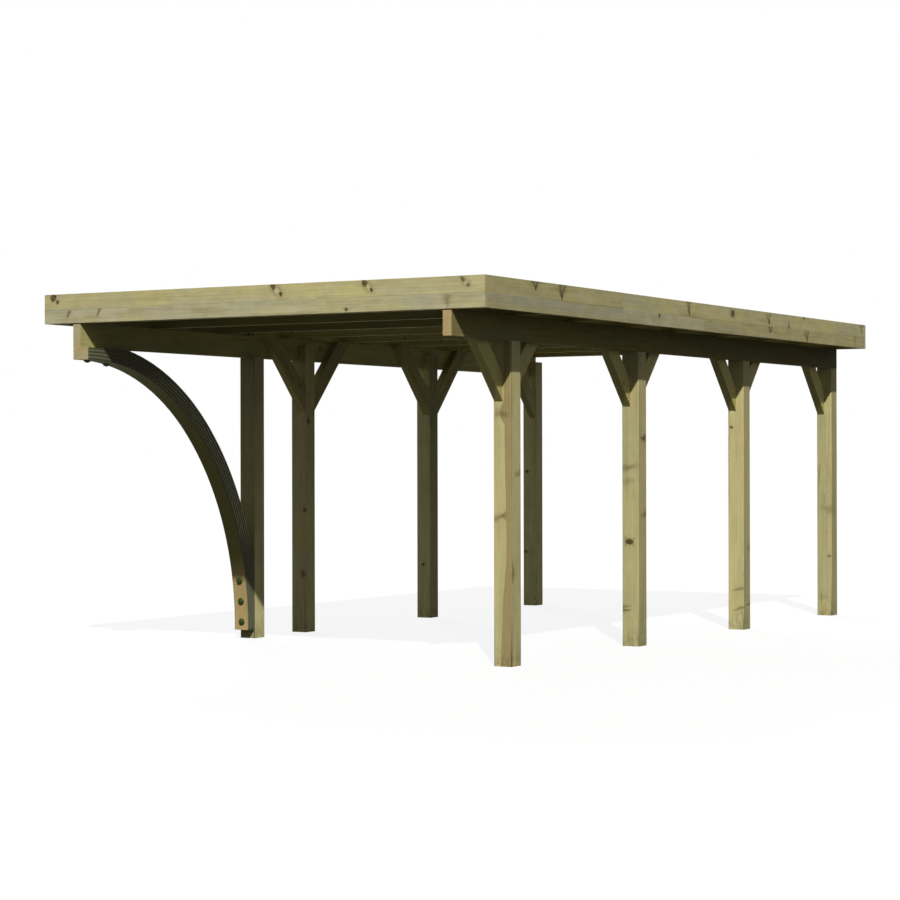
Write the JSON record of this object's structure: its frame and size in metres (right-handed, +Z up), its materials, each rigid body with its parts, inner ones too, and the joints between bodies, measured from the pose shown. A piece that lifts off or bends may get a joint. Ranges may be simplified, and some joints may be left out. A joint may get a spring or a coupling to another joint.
{
  "type": "timber carport",
  "caption": "Free-standing flat-roofed timber carport: two post rows with purlins and knee braces, a laminated arch at the front left, cross rafters, fascia boards and a ribbed roof sheet.",
  "frame": {"origin": "ground level, under the centre of the roof's outline", "axes": "+X to the right seen from the front, +Y from the open front with the arch to the rear, +Z up"},
  "size_m": [3.214, 6.092, 2.289],
  "materials": {
    "post_timber": "pressure-treated planed pine",
    "brace_timber": "pressure-treated planed pine",
    "purlin_timber": "pressure-treated planed pine",
    "rafter_timber": "pressure-treated planed pine",
    "fascia_timber": "pressure-treated planed pine boards",
    "laminated_timber": "glued laminated pine, pressure-treated",
    "bolt": "glossy green coated dome heads",
    "roof_sheet": "opaque grey ribbed sheet"
  },
  "bodies": {
    "root": {"post_right_1": "post_timber", "post_right_2": "post_timber", "post_right_3": "post_timber", "post_right_4": "post_timber", "post_left_1": "post_timber", "post_left_2": "post_timber", "post_left_3": "post_timber", "post_left_4": "post_timber", "purlin_right": "purlin_timber", "purlin_left": "purlin_timber", "brace_right_1_front": "brace_timber", "brace_right_1_back": "brace_timber", "brace_right_2_front": "brace_timber", "brace_right_2_back": "brace_timber", "brace_right_3_front": "brace_timber", "brace_right_3_back": "brace_timber", "brace_right_4_front": "brace_timber", "brace_left_2_front": "brace_timber", "brace_left_2_back": "brace_timber", "brace_left_3_front": "brace_timber", "brace_left_3_back": "brace_timber", "brace_left_4_front": "brace_timber", "arch": "laminated_timber", "arch_foot_bolts": "bolt", "arch_head_bolts": "bolt", "rafter_1": "rafter_timber", "rafter_2": "rafter_timber", "rafter_3": "rafter_timber", "rafter_4": "rafter_timber", "rafter_5": "rafter_timber", "rafter_6": "rafter_timber", "rafter_7": "rafter_timber", "rafter_8": "rafter_timber", "rafter_9": "rafter_timber", "fascia_front_upper": "fascia_timber", "fascia_front_lower": "fascia_timber", "fascia_rear_upper": "fascia_timber", "fascia_rear_lower": "fascia_timber", "fascia_left_upper": "fascia_timber", "fascia_left_lower": "fascia_timber", "fascia_right_upper": "fascia_timber", "fascia_right_lower": "fascia_timber", "roof_sheet": "roof_sheet"}
  },
  "joints": []
}
